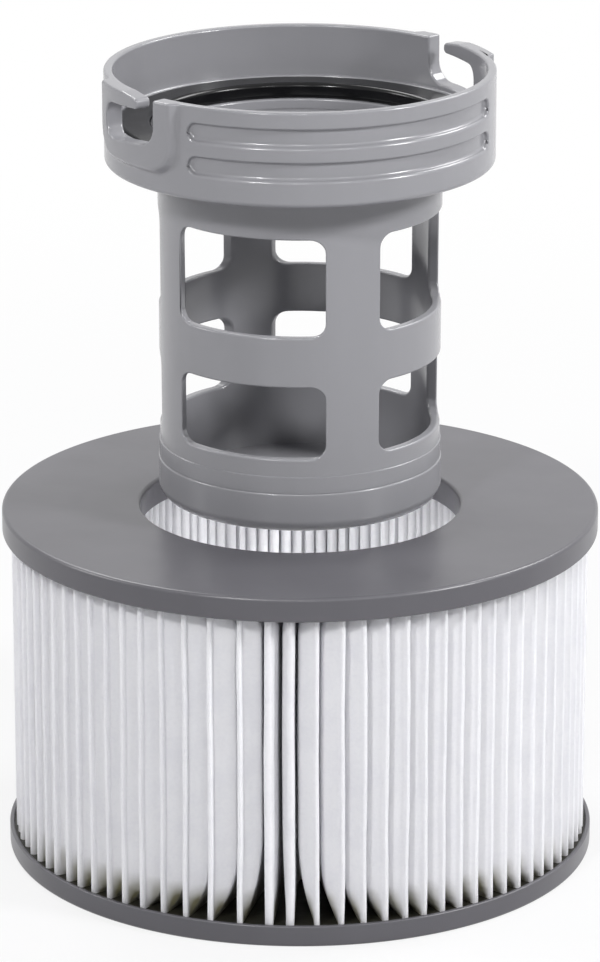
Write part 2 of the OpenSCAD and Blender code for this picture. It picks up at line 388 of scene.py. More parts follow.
@dataclass(frozen=True)
class MouldedRubber(Finish):
    """Compression-moulded EPDM rubber: near black, wet-looking, with a slightly wavy skin.

    Attributes:
        wave_mm: Size of the skin's waves.
        wave_depth: Height of the waves, in mm.
        gloss_range: Least and most roughness as shares of the mean.
    """

    wave_mm: float = 9.0
    wave_depth: float = 0.12
    gloss_range: tuple[float, float] = (0.7, 1.4)

    def dress(self, tree: NodeTree, place: NodeSocket) -> Inputs:
        """Adds a wavy skin and duller patches. See Finish.dress."""
        wave = add_node(
            tree,
            "ShaderNodeTexNoise",
            {"Vector": place, "Scale": per_size(self.wave_mm), "Detail": 1.0},
        ).outputs[0]
        least, most = self.gloss_range
        gloss = add_node(
            tree,
            "ShaderNodeMapRange",
            {
                "Value": wave,
                "From Min": NOISE_LOW,
                "From Max": NOISE_HIGH,
                "To Min": self.roughness * least,
                "To Max": self.roughness * most,
            },
        )
        relief = add_node(
            tree, "ShaderNodeBump", {"Height": wave, "Distance": self.wave_depth * MM}
        )
        return {"Roughness": gloss.outputs[0], "Normal": relief.outputs[0]}


@dataclass(frozen=True)
class CastResin(Finish):
    """Dark polyurethane potting resin, poured flat and wicked up round the pleat ends.

    Attributes:
        pale: The colour of its cloudy patches.
        cloud_mm: Size of the patches and of the pour's ripples.
        ripple_depth: Height of the ripples, in mm.
    """

    pale: str = "#2b2a22"
    cloud_mm: float = 5.0
    ripple_depth: float = 0.3

    def dress(self, tree: NodeTree, place: NodeSocket) -> Inputs:
        """Adds cloudy patches and small pour ripples. See Finish.dress."""
        cloud = add_node(
            tree,
            "ShaderNodeTexNoise",
            {"Vector": place, "Scale": per_size(self.cloud_mm), "Detail": 4.0},
        ).outputs[0]
        tint = add_node(
            tree,
            "ShaderNodeMix",
            {0: cloud, 6: linear(self.colour), 7: linear(self.pale)},
            data_type="RGBA",
        )
        relief = add_node(
            tree, "ShaderNodeBump", {"Height": cloud, "Distance": self.ripple_depth * MM}
        )
        return {"Base Color": tint.outputs[2], "Normal": relief.outputs[0]}


# ABS from a polished mould: an even mid grey that mirrors lamps as soft streaks
HOLDER_ABS = MouldedPlastic(
    "holder_grey_abs_moulded_satin",
    slot="holder_plastic",
    colour="#838387",
    roughness=0.21,
    ior=1.53,
    pale="#88888c",
    grain_depth=0.004,
)
# Polypropylene from a fine matt mould: darker than the ABS, with broad dim reflections
CAP_PP = MouldedPlastic(
    "cap_dark_grey_polypropylene_moulded",
    slot="cap_plastic",
    colour="#525156",
    roughness=0.31,
    ior=1.49,
    pale="#58575c",
)
# Spunbonded polyester of about 250 g/m2: white, matt and a little translucent
FILTER_FELT = NonWoven(
    "filter_white_spunbonded_polyester",
    slot="filter_fabric",
    colour="#f6f6f8",
    roughness=0.85,
    ior=1.45,
)
# EPDM: near black with a wet-looking skin
SEAL_EPDM = MouldedRubber(
    "seal_black_epdm_rubber",
    slot="seal_rubber",
    colour="#08080a",
    roughness=0.18,
    ior=1.32,
)
# Filled polyurethane: almost black, with an olive tint where it is thin
POTTING_PU = CastResin(
    "potting_dark_polyurethane_cast",
    slot="potting_resin",
    colour="#1b1a15",
    roughness=0.45,
    ior=1.5,
)


# ---- Mesh helpers ----


def spin_ring(outline: Outline, steps: int = RING_STEPS) -> BMesh:
    """Spins a closed outline into a ring round the Z axis.

    Args:
        outline: Corners as (radius, height) in mm, in order.
        steps: Facets round the ring.

    Returns:
        A closed mesh with outward normals.
    """
    bm = bmesh.new()
    verts = [bm.verts.new((radius * MM, 0, height * MM)) for radius, height in outline]
    edges = [bm.edges.new(pair) for pair in zip(verts, verts[1:] + verts[:1])]
    bmesh.ops.spin(
        bm,
        geom=verts + edges,
        cent=(0, 0, 0),
        axis=(0, 0, 1),
        angle=math.tau,
        steps=steps,
        use_merge=True,
    )
    bmesh.ops.remove_doubles(bm, verts=bm.verts, dist=WELD)
    bmesh.ops.recalc_face_normals(bm, faces=bm.faces)
    return bm


def bevel_edges(bm: BMesh, edges: Sequence[BMEdge], width: float, segments: int = 3) -> None:
    """Rounds edges with circular bevels.

    Args:
        bm: The mesh.
        edges: The edges to round.
        width: Bevel width in mm.
        segments: Facets across the rounding.
    """
    bmesh.ops.bevel(
        bm,
        geom=list(edges),
        offset=width * MM,
        offset_type="OFFSET",
        segments=segments,
        profile=0.5,
        affect="EDGES",
        clamp_overlap=False,
        material=-1,
    )


def round_circle(bm: BMesh, radius: float, height: float, width: float, segments: int = 5) -> None:
    """Rounds one circular edge of a spun ring.

    Args:
        bm: The ring's mesh.
        radius: The circle's radius in mm.
        height: The circle's height in mm.
        width: Radius of the rounding in mm.
        segments: Facets across the rounding.
    """

    def lies_there(vert: BMVert) -> bool:
        on_radius = abs(vert.co.xy.length - radius * MM) < NEAR
        return on_radius and abs(vert.co.z - height * MM) < NEAR

    edges = [e for e in bm.edges if all(lies_there(v) for v in e.verts)]
    bevel_edges(bm, edges, width, segments)


def rectangle(x0: float, x1: float, z0: float, z1: float, rounding: float = 0.0) -> Corners:
    """Lists a rectangle's corners for flat_solid, with one rounding, in mm."""
    return [(x, z, rounding) for x, z in ((x0, z0), (x1, z0), (x1, z1), (x0, z1))]


def spin_rectangle(r0: float, r1: float, z0: float, z1: float) -> BMesh:
    """Spins a ring of rectangular section between two radii and two heights in mm."""
    return spin_ring([corner[:2] for corner in rectangle(r0, r1, z0, z1)])


def flat_solid(corners: Corners, front: float, back: float, segments: int = 7) -> BMesh:
    """Extrudes an upright outline with rounded corners along Y.

    Args:
        corners: Corners as (x, z, rounding) in mm, in order.
        front: Y of the outline in mm.
        back: Y that it is extruded to, in mm.
        segments: Facets across each corner's rounding.

    Returns:
        A closed solid with outward normals.
    """
    bm = bmesh.new()
    verts = [bm.verts.new((x * MM, front * MM, z * MM)) for x, z, _ in corners]
    bm.faces.new(verts)
    count = len(corners)
    for i, (x, z, rounding) in enumerate(corners):
        if rounding <= 0:
            continue
        here = Vector((x, z))
        before = Vector(corners[i - 1][:2]) - here
        after = Vector(corners[(i + 1) % count][:2]) - here
        bmesh.ops.bevel(
            bm,
            geom=[verts[i]],
            offset=rounding / math.tan(before.angle(after) / 2) * MM,
            offset_type="OFFSET",
            segments=segments,
            profile=0.5,
            affect="VERTICES",
            clamp_overlap=False,
            material=-1,
        )
    grown = bmesh.ops.extrude_face_region(bm, geom=bm.faces[:])
    moved = [item for item in grown["geom"] if isinstance(item, BMVert)]
    bmesh.ops.translate(bm, verts=moved, vec=(0, (back - front) * MM, 0))
    bmesh.ops.recalc_face_normals(bm, faces=bm.faces)
    return bm


def add_object(name: str, data: ID) -> Object:
    """Adds an object with the given data to the scene."""
    obj = bpy.data.objects.new(name, data)
    bpy.context.scene.collection.objects.link(obj)
    return obj


def as_object(bm: BMesh, name: str) -> Object:
    """Turns a bmesh into an object in the scene and frees the bmesh."""
    mesh = bpy.data.meshes.new(name)
    bm.to_mesh(mesh)
    bm.free()
    return add_object(name, mesh)


def combine(base: BMesh, steps: Iterable[tuple[Cut, BMesh]]) -> BMesh:
    """Adds solids to a solid, or takes them away from it, in order.

    Args:
        base: The solid to change. It is freed.
        steps: Pairs of what is done and the solid that it is done with. Each is freed.

    Returns:
        The combined mesh.
    """
    body = as_object(base, "combine_base")
    tools = []
    for cut, solid in steps:
        tool = as_object(solid, "combine_tool")
        tools.append(tool)
        step = body.modifiers.new("step", "BOOLEAN")
        step.operation = cut.value
        step.solver = "EXACT"
        step.object = tool
    evaluated = body.evaluated_get(bpy.context.evaluated_depsgraph_get())
    result = bmesh.new()
    result.from_mesh(evaluated.to_mesh())
    evaluated.to_mesh_clear()
    for obj in [body, *tools]:
        mesh = obj.data
        bpy.data.objects.remove(obj)
        bpy.data.meshes.remove(mesh)
    bmesh.ops.remove_doubles(result, verts=result.verts, dist=WELD)
    return result


def sharp_edges(bm: BMesh, least: float = 28.0) -> list[BMEdge]:
    """Lists the edges whose faces meet at more than an angle in degrees."""
    bm.normal_update()
    limit = math.radians(least)
    return [e for e in bm.edges if len(e.link_faces) == 2 and e.calc_face_angle(0.0) > limit]


def slice_at(bm: BMesh, point: Sequence[float], normal: Sequence[float]) -> None:
    """Cuts every face of a mesh along a plane and keeps both sides joined."""
    bmesh.ops.bisect_plane(
        bm,
        geom=bm.verts[:] + bm.edges[:] + bm.faces[:],
        dist=WELD,
        plane_co=point,
        plane_no=normal,
    )


def slice_flat(bm: BMesh, start: float, stop: float, count: int) -> None:
    """Cuts a flat solid into upright strips, so that it can be bent smoothly.

    Args:
        bm: The flat solid.
        start: X of its first end in mm.
        stop: X of its other end in mm.
        count: Number of strips.
    """
    for i in range(1, count):
        x = start + (stop - start) * i / count
        slice_at(bm, (x * MM, 0, 0), (1, 0, 0))


def bend_closed(bm: BMesh, start: float, stop: float, place: Callable[[Vector], Vector]) -> None:
    """Bends a flat solid into a ring and welds its two ends together.

    Args:
        bm: The flat solid, sliced into strips.
        start: X of its first end in mm.
        stop: X of its other end in mm.
        place: Gives the bent place of a flat point.
    """

    def is_end(face: BMFace) -> bool:
        return any(all(abs(v.co.x - x * MM) < NEAR for v in face.verts) for x in (start, stop))

    bmesh.ops.delete(bm, geom=[f for f in bm.faces if is_end(f)], context="FACES")
    for vert in bm.verts:
        vert.co = place(vert.co)
    bmesh.ops.remove_doubles(bm, verts=bm.verts, dist=WELD * 2)
    bmesh.ops.recalc_face_normals(bm, faces=bm.faces)


def lift(bm: BMesh, height: float) -> BMesh:
    """Moves a mesh up by a height in mm and returns it."""
    bmesh.ops.translate(bm, verts=bm.verts, vec=(0, 0, height * MM))
    return bm


def turn(bm: BMesh, axis: str, degrees: float) -> BMesh:
    """Turns a mesh about one of the main axes and returns it."""
    matrix = Matrix.Rotation(math.radians(degrees), 3, axis)
    bmesh.ops.rotate(bm, verts=bm.verts, cent=(0, 0, 0), matrix=matrix)
    return bm


def flip_over(bm: BMesh) -> BMesh:
    """Mirrors a mesh top to bottom, turns its faces outwards again and returns it."""
    bmesh.ops.scale(bm, verts=bm.verts, vec=(1, 1, -1))
    bmesh.ops.recalc_face_normals(bm, faces=bm.faces)
    return bm


def seat(bm: BMesh, node: str, upside_down: bool = False) -> BMesh:
    """Stands a mesh on the low end of a node's box, or hangs it from the high end."""
    low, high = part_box(node)
    return lift(flip_over(bm), high[2] / MM) if upside_down else lift(bm, low[2] / MM)


def join(bm: BMesh, parts: Iterable[BMesh]) -> BMesh:
    """Joins closed shells that run into each other to a mesh, frees them and returns it."""
    for part in parts:
        mesh = bpy.data.meshes.new("join")
        part.to_mesh(mesh)
        part.free()
        bm.from_mesh(mesh)
        bpy.data.meshes.remove(mesh)
    return bm


def ease(value: float) -> float:
    """Eases a value from 0 to 1 smoothly, and keeps it at 0 before and at 1 after."""
    t = min(max(value, 0.0), 1.0)
    return t * t * (3 - 2 * t)


def finish_piece(
    bm: BMesh, name: str, node: str, finish: Finish, body: BodyName, crease: float = 38.0
) -> Object:
    """Makes a finished piece: shaded, dressed, riding on its body and standing for its node.

    Args:
        bm: The piece's mesh.
        name: The piece's name.
        node: The CAD node that it stands for.
        finish: Its finish, whose material the piece takes.
        body: The body that it rides on.
        crease: Angle in degrees above which an edge stays sharp.

    Returns:
        The piece's object.
    """
    obj = as_object(bm, name)
    obj.data.shade_smooth()
    obj.data.set_sharp_from_angle(angle=math.radians(crease))
    obj.data.materials.append(finish.material())
    even = obj.modifiers.new("even_normals", "WEIGHTED_NORMAL")
    even.keep_sharp = True
    even.weight = EVEN_WEIGHT
    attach(obj, body.value)
    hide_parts(node)
    LOG.info("%s: %d faces", name, len(obj.data.polygons))
    return obj


# ---- Cartridge ----


@dataclass
class EndCap:
    """One ring-shaped end cap: a flat web with a skirt outside and a collar round the bore.

    Attributes:
        node: The CAD node that it stands for.
        upside_down: Whether the skirt hangs down, as on the top cap.
        skirt_h: Height of the skirt.
        skirt_t: Wall of the skirt.
        bore_r: Radius of the bore.
        web_t: Thickness of the flat web.
        collar_h: Height of the collar.
        collar_t: Wall of the collar.
        edge_r: Rounding of the outer edge.
        lip_r: Rounding of the bore's mouth.
        tip_r: Rounding of the skirt's and the collar's free edges.
    """

    node: str
    upside_down: bool
    skirt_h: float
    skirt_t: float
    bore_r: float = 41.3
    web_t: float = 2.4
    collar_h: float = 7.0
    collar_t: float = 1.3
    edge_r: float = 1.0
    lip_r: float = 0.9
    tip_r: float = 0.35

    def build(self) -> Object:
        """Builds, rounds and dresses the cap."""
        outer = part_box(self.node)[1][0] / MM
        inner = outer - self.skirt_t
        collar_r = self.bore_r + self.collar_t
        bm = spin_ring(
            [
                (self.bore_r, 0),
                (outer, 0),
                (outer, self.skirt_h),
                (inner, self.skirt_h),
                (inner, self.web_t),
                (collar_r, self.web_t),
                (collar_r, self.collar_h),
                (self.bore_r, self.collar_h),
            ]
        )
        round_circle(bm, outer, 0, self.edge_r, 6)
        round_circle(bm, self.bore_r, 0, self.lip_r, 6)
        round_circle(bm, outer, self.skirt_h, self.tip_r, 4)
        round_circle(bm, inner, self.skirt_h, self.tip_r, 4)
        round_circle(bm, self.bore_r, self.collar_h, self.tip_r, 3)
        round_circle(bm, collar_r, self.collar_h, self.tip_r, 3)
        seat(bm, self.node, self.upside_down)
        return finish_piece(bm, f"{self.node}_moulded", self.node, CAP_PP, BodyName.CARTRIDGE)


@dataclass
class Potting:
    """The ring of resin poured into an end cap, a little higher where it wets the walls.

    Attributes:
        node: The CAD node that it stands for.
        upside_down: Whether it hangs from the top cap.
        inner_r: Radius at the collar.
        outer_r: Radius at the skirt.
        depth: Depth of the resin.
        meniscus: How far its face lies under its edges.
        dish: Width of the rise at either wall.
    """

    node: str
    upside_down: bool
    inner_r: float = 42.65
    outer_r: float = 75.15
    depth: float = 2.6
    meniscus: float = 0.25
    dish: float = 1.4

    def build(self) -> Object:
        """Builds the resin ring with a shallow dished face."""
        face = self.depth - self.meniscus
        bm = spin_ring(
            [
                (self.inner_r, 0),
                (self.outer_r, 0),
                (self.outer_r, self.depth),
                (self.outer_r - self.dish, face),
                (self.inner_r + self.dish, face),
                (self.inner_r, self.depth),
            ]
        )
        seat(bm, self.node, self.upside_down)
        return finish_piece(bm, f"{self.node}_cast", self.node, POTTING_PU, BodyName.CARTRIDGE)


@dataclass
class PleatedMedia:
    """The folded band of white felt.

    Each fold ends outside in a narrow ridge. Behind it the walls spread into shoulders until
    they lie against the neighbours, and at the resin they are pinched thin, with open gaps
    between them. The folds lean away from the seam, where the gaps stay open all the way up.
    Left of the seam they are pulled tight, and the ridges stand out further over flat shoulders.

    Attributes:
        count: Number of folds.
        outer_r: Radius at the outer folds.
        inner_r: Radius at the inner folds.
        felt_t: Thickness of the felt.
        seam_angle: Angle of the seam between the band's two ends.
        ridge: Half the width of a ridge.
        seam_ridge: Half the width of the two ridges beside the seam.
        proud: How far a ridge stands out from its shoulders, slack and tight.
        shoulder: Depth at which neighbours touch, slack and tight.
        slope: How evenly a shoulder slopes, slack and tight; 1 is straight, and more bulges.
        columns: Depths of a wall's points behind its ridge.
        root_blend: Depth at which the walls begin to close in on the inner folds.
        root_start: Depth at which the inner folds begin.
        root_mid: Depth of the points half way round an inner fold.
        root_half: Half the width of the gap inside an inner fold.
        lean: Share of the room between two ridges by which the folds lean.
        lean_fade: Folds from the seam up to which they lean, and over which that ends.
        lean_back: Depth at which a leaning fold straightens, and the depth that this takes.
        tight_fade: Folds left of the seam up to which they are tight, and over which that ends.
        seam_room: Extra room between the seam's two ridges, as a share.
        room_right: The same right of it: the most, its gap, and gaps over which it fades.
        room_left: The same left of it.
        gap: Gap between two neighbours far from the seam and in it.
        gap_reach: Number of folds over which the seam's gap closes.
        room_play: Range by which the room between ridges differs, as a share.
        ridge_play: The same for the width of a ridge.
        rise_play: The same for the rise.
        sunk: How far a ridge may stand back.
        sway: How far a ridge may lean sideways over its height.
        waves: Height, length and multiple of the phase of each sideways wave of a ridge.
        rows_low: Heights of the mesh's rows over the lower end, closer near the cap.
        rows_high: The same down from the upper end.
        bed: Height that the resin holds at either end.
        rise: Height over the lower resin at which the shoulders are full.
        seam_rise: Extra rise at the seam.
        seam_fade: Number of folds over which that extra rise fades.
        drop: The same depth under the upper resin.
        seed: Seed of the small differences between folds.
    """

    count: int = 88
    outer_r: float = 74.85
    inner_r: float = 43.0
    felt_t: float = 0.6
    seam_angle: float = 19.0
    ridge: float = 0.62
    seam_ridge: float = 1.05
    proud: tuple[float, float] = (0.9, 2.3)
    shoulder: tuple[float, float] = (4.2, 3.3)
    slope: tuple[float, float] = (1.9, 3.5)
    columns: tuple[float, ...] = (1.2, 1.7, 2.5, 2.8, 3.3, 4.2, 14.0)
    root_blend: float = 20.0
    root_start: float = 29.6
    root_mid: float = 31.0
    root_half: float = 0.85
    lean: float = 0.36
    lean_fade: tuple[float, float] = (18, 20)
    lean_back: tuple[float, float] = (6, 20)
    tight_fade: tuple[float, float] = (11, 9)
    seam_room: float = 0.09
    room_right: tuple[float, float, float] = (0.33, 1, 2.5)
    room_left: tuple[float, float, float] = (0.5, -2, 3)
    gap: tuple[float, float] = (0.05, 1.0)
    gap_reach: float = 1.8
    room_play: tuple[float, float] = (0.95, 1.05)
    ridge_play: tuple[float, float] = (0.9, 1.1)
    rise_play: tuple[float, float] = (0.8, 1.3)
    sunk: float = 0.35
    sway: float = 0.22
    waves: tuple[tuple[float, float, int], ...] = ((0.11, 11.0, 1), (0.05, 4.7, 2))
    rows_low: tuple[float, ...] = (
        0.0, 1.6, 2.8, 4.2, 5.9, 7.9, 10.4, 13.4, 16.9, 21.4, 27.4, 35.4, 46.4
    )
    rows_high: tuple[float, ...] = (0.0, 1.5, 2.9, 4.3, 6.4, 10.4, 17.4, 27.4)
    bed: float = 1.4
    rise: float = 5.0
    seam_rise: float = 23.0
    seam_fade: float = 3.0
    drop: float = 5.0
    seed: int = 7

    def from_seam(self, index: int) -> int:
        """Counts a gap from the seam's gap, less than 0 to its left."""
        return index if index <= self.count // 2 else index - self.count

    def ridge_angles(self, rng: random.Random) -> list[float]:
        """Gives the angle of each ridge: further apart near the seam, the more so at its left."""
        weights = []
        for index in range(self.count):
            place = self.from_seam(index)
            most, peak, fade = self.room_right if place > 0 else self.room_left
            extra = most * math.exp(-abs(place - peak) / fade) if place else self.seam_room
            weights.append((1 + extra) * rng.uniform(*self.room_play))
        scale = math.tau / sum(weights)
        angle = math.radians(self.seam_angle) - weights[0] * scale / 2
        angles = []
        for weight in weights:
            angles.append(angle)
            angle += weight * scale
        return angles

    def wall(
        self, tip: float, depth: float, near: float, root: float, belly: float, tight: float
    ) -> float:
        """Gives how far a fold's wall stands from the fold's middle, in mm.

        Args:
            tip: Half the width of the outer fold.
            depth: Distance in from the outer fold.
            near: Distance to the neighbour's wall at this depth.
            root: Distance to the start of the inner fold.
            belly: From 0, pinched, to 1, lying against the neighbour.
            tight: From 0, slack, to 1, pulled tight.
        """
        if depth <= tip:
            return math.sqrt(tip**2 - (tip - depth) ** 2)
        straight = tip + (root - tip) * depth / self.root_start
        proud, shoulder, slope = (
            slack + (pulled - slack) * tight
            for slack, pulled in (self.proud, self.shoulder, self.slope)
        )
        t = min(max((depth - proud) / (shoulder - proud), 0.0), 1.0)
        full = tip + (near - tip) * (1 - (1 - t) ** slope)
        return straight + (full - straight) * belly

    def half_gap(self, depth: float, gap: float) -> float:
        """Gives half the gap between two neighbours at a depth, in mm."""
        if depth <= self.root_start:
            closing = (depth - self.root_blend) / (self.root_start - self.root_blend)
            return gap / 2 + (self.root_half - gap / 2) * ease(closing)
        reach = self.outer_r - self.inner_r - self.felt_t
        share = (depth - self.root_start) / (reach - self.root_start)
        return self.root_half * math.sqrt(max(0.0, 1 - share**2))

    def build(self) -> Object:
        """Builds the band row by row, bridges the rows and gives the felt its thickness."""
        low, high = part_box("pleated_media")
        z0, z1 = low[2] / MM, high[2] / MM
        rng = random.Random(self.seed)
        angles = self.ridge_angles(rng)
        count = self.count
        tips = [rng.uniform(*self.ridge_play) * self.ridge for _ in range(count)]
        tips[0] = tips[1] = self.seam_ridge
        sunk = [rng.uniform(0.0, self.sunk) for _ in range(count)]
        swing = [rng.uniform(-self.sway, self.sway) for _ in range(count)]
        phase = [rng.uniform(0.0, math.tau) for _ in range(count)]
        places = [self.from_seam(index) for index in range(count)]
        rises = [
            self.rise * rng.uniform(*self.rise_play)
            + self.seam_rise * math.exp(-abs(p) / self.seam_fade)
            for p in places
        ]
        shut, open_wide = self.gap
        gaps = [shut + (open_wide - shut) * math.exp(-((p / self.gap_reach) ** 2)) for p in places]
        far, fade = self.lean_fade
        shares = [
            0.5 - self.lean * math.tanh(p) * (1 - ease((abs(p) - far) / fade)) for p in places
        ]
        far, fade = self.tight_fade
        pulls = [1 - ease((-p - far) / fade) if p < 0 else 0.0 for p in places]
        steps = [(angles[(i + 1) % count] - angles[i]) % math.tau for i in range(count)]
        depths = [*self.columns, self.root_start, self.root_mid]
        rows = [z0 + z for z in self.rows_low] + [z1 - z for z in reversed(self.rows_high)]
        root_r = self.inner_r + self.felt_t

        def wander(index: int, z: float) -> float:
            """Gives how far a ridge strays sideways at a height, in radians."""
            waves = sum(
                size * math.sin(z / length + times * phase[index])
                for size, length, times in self.waves
            )
            return (waves + swing[index] * (z - z0) / (z1 - z0)) / self.outer_r

        def side(ridge: int, gap: int, z: float, belly: float) -> list[tuple[float, float]]:
            """Gives one wall of a fold as radius and angle, from the ridge to the inner fold."""
            right = ridge == gap
            sign = 1 if right else -1
            other = (ridge + sign) % count
            stray = (wander(ridge, z) + wander(other, z)) / 2
            middle = angles[ridge] + wander(ridge, z)
            tip = tips[ridge]
            start, depth_taken = self.lean_back
            points = []
            for depth in [0.15 * tip, 0.5 * tip, tip, *depths]:
                back = ease((depth - start) / depth_taken)
                share = shares[gap] + (0.5 - shares[gap]) * back
                share = share if right else 1 - share
                radius = self.outer_r - sunk[ridge] - depth
                reach = share * steps[gap] + sign * (stray * (1 - back) - wander(ridge, z))
                near = reach * radius - self.half_gap(depth, gaps[gap])
                if depth < self.root_start:
                    inner = self.outer_r - self.root_start
                    root = 0.5 * steps[gap] * inner - self.root_half
                    near = self.wall(tip, depth, near, root, belly, pulls[gap])
                points.append((radius, middle + sign * near / radius))
            return points

        bm = bmesh.new()
        loops = []
        for z in rows:
            ring = []
            bellies = []
            for rise in rises:
                up = min(max((z - z0 - self.bed) / rise, 0.0), 1.0)
                down = min(max((z1 - self.bed - z) / self.drop, 0.0), 1.0)
                bellies.append((1 - (1 - up) ** 2) * (1 - (1 - down) ** 2))
            for i in range(count):
                left = side(i, (i - 1) % count, z, bellies[i - 1])
                right = side(i, i, z, bellies[i])
                ring += reversed(left)
                ring.append((self.outer_r - sunk[i], angles[i] + wander(i, z)))
                ring += right
                ring.append((root_r, angles[i] + steps[i] / 2))
            verts = [
                bm.verts.new((r * MM * math.sin(a), -r * MM * math.cos(a), z * MM))
                for r, a in ring
            ]
            loops.append([bm.edges.new(pair) for pair in zip(verts, verts[1:] + verts[:1])])
        for below, above in zip(loops, loops[1:]):
            bmesh.ops.bridge_loops(bm, edges=below + above)
        bmesh.ops.recalc_face_normals(bm, faces=bm.faces)
        area = sum(face.calc_area() for face in bm.faces)
        bmesh.ops.solidify(bm, geom=bm.faces[:], thickness=self.felt_t * MM)
        obj = finish_piece(
            bm, "pleated_felt_band", "pleated_media", FILTER_FELT, BodyName.CARTRIDGE, crease=80.0
        )
        return obj


# ---- Holder ----


@dataclass
class BayonetHead:
    """The socket: a wall with two hooked slots, raised borders and grip channels.

    The wall is modelled flat, as if unrolled, with its outside facing -Y, and then bent round.
    Heights are over the holder's underside.

    Attributes:
        base: Height of the holder's underside.
        rim: Height of the rim.
        under: Height of the head's lower edge.
        step: Height of the step round the sealing ring.
        seat: Height of the sealing ring's seat.
        flange: Height of the ledge that the tube's flange hangs on.
        outer_r: Radius of the wall's outside.
        wall_t: Wall thickness.
        pocket_r: Radius round the sealing ring.
        throat_r: Radius of the throat over the tube's flange.
        neck_r: Radius of the hole that the tube hangs in.
        under_r: Rounding of the lower edge.
        edge_r: Rounding of every other edge.
        slot_angle: Angle of the first slot's middle.
        slot_w: Width of a slot.
        entrance_w: Width of a slot's entrance.
        slot_depth: Depth of a slot under its entrance.
        slot_bottom: Depth at its closed end.
        hook_h: Height of the hook at its tip.
        hook_root: Height of the hook at its root.
        hook_run: Length of the slope on top of the hook's tip.
        hook_top: Depth of the hook's tip under the rim.
        floor_bend: Distance from the entrance at which the slot's floor bends, and its drop.
        slot_r: Roundings of a slot's corners, from the entrance's foot round to the hook.
        border_left: Distance from a slot's middle to its border's left edge.
        border_right: The same at the right.
        border_low: Distance from the rim down to the border's lower edge.
        border_out: How far a border stands out.
        border_r: Rounding of its lower corners.
        border_blend: How far its sides spread where they meet the wall.
        channel_d: Depth of a grip channel.
        channel_h: Height of a grip channel.
        channel_tops: Distances from the rim down to the channels.
        channel_ends: Angles from a slot's middle to a channel's two ends.
        channel_slope: How much the lower ledge slopes.
        channel_blend: Height over which that slope sets in.
        hollow: Radii of the hollow in the underside.
        hollow_top: Height of the hollow's ceiling.
        rib_count: Number of ribs across the hollow.
        rib_t: Thickness of a rib.
        rib_back: How far the ribs stand back from the underside.
        rib_r: Rounding of a rib's lower edges.
        seam_angle: Angle at which the flat wall's two ends meet.
        strips: Number of strips that the flat wall is cut into before it is bent.
    """

    base: float
    rim: float = 112.0
    under: float = 88.0
    step: float = 98.8
    seat: float = 94.6
    flange: float = 90.2
    outer_r: float = 49.5
    wall_t: float = 2.3
    pocket_r: float = 46.2
    throat_r: float = 37.4
    neck_r: float = 36.3
    under_r: float = 1.4
    edge_r: float = 0.6
    slot_angle: float = -34.0
    slot_w: float = 21.0
    entrance_w: float = 5.5
    slot_depth: float = 11.8
    slot_bottom: float = 13.6
    hook_h: float = 3.4
    hook_root: float = 4.3
    hook_run: float = 6.2
    hook_top: float = 0.8
    floor_bend: tuple[float, float] = (8.0, 0.3)
    slot_r: tuple[float, ...] = (5.0, 30.0, 3.8, 3.4, 1.25, 1.2)
    border_left: float = 14.5
    border_right: float = 15.8
    border_low: float = 17.6
    border_out: float = 2.0
    border_r: float = 7.0
    border_blend: float = 1.5
    channel_d: float = 1.2
    channel_h: float = 5.1
    channel_tops: tuple[float, float] = (4.3, 12.7)
    channel_ends: tuple[float, float] = (23.0, 129.0)
    channel_slope: float = 0.9
    channel_blend: float = 1.2
    hollow: tuple[float, float] = (40.0, 45.4)
    hollow_top: float = 92.0
    rib_count: int = 12
    rib_t: float = 1.6
    rib_back: float = 0.1
    rib_r: float = 0.3
    seam_angle: float = 112.0
    strips: int = 216

    def along(self, angle: float) -> float:
        """Gives the flat X, in mm, of an angle in degrees."""
        return math.radians(angle) * self.outer_r

    def slot(self, middle: float) -> BMesh:
        """Makes the tool that cuts one hooked slot about a flat X."""
        half, top = self.slot_w / 2, self.rim
        tip = half - self.entrance_w
        run, drop = self.floor_bend
        bends = [
            (half, top - self.slot_depth),
            (half - run, top - self.slot_depth - drop),
            (-half, top - self.slot_bottom),
            (-half, top - self.hook_root),
            (tip, top - self.hook_h),
            (tip, top - self.hook_top),
        ]
        corners = [
            (half, top + REACH, 0),
            *((x, z, rounding) for (x, z), rounding in zip(bends, self.slot_r)),
            (tip - self.hook_run, top, 0),
            (tip - self.hook_run, top + REACH, 0),
        ]
        placed = [(middle + x, z, rounding) for x, z, rounding in corners]
        return flat_solid(placed, -self.border_out - CLEAR, self.wall_t + CLEAR)

    def border(self, middle: float) -> BMesh:
        """Makes the raised border round one slot, with sides that spread towards the wall."""
        left, right, low = -self.border_left, self.border_right, self.rim - self.border_low
        corners = [
            (middle + left, self.rim, 0),
            (middle + left, low, self.border_r),
            (middle + right, low, self.border_r),
            (middle + right, self.rim, 0),
        ]
        back = self.wall_t / 2
        bm = flat_solid(corners, -self.border_out, back)
        spread = self.border_blend * (self.border_out + back) / self.border_out
        width, height = right - left, self.border_low
        bmesh.ops.scale(
            bm,
            verts=[v for v in bm.verts if v.co.y > 0],
            vec=(1 + 2 * spread / width, 1, 1 + spread / height),
            space=Matrix.Translation((-(middle + (left + right) / 2) * MM, 0, -self.rim * MM)),
        )
        return bm

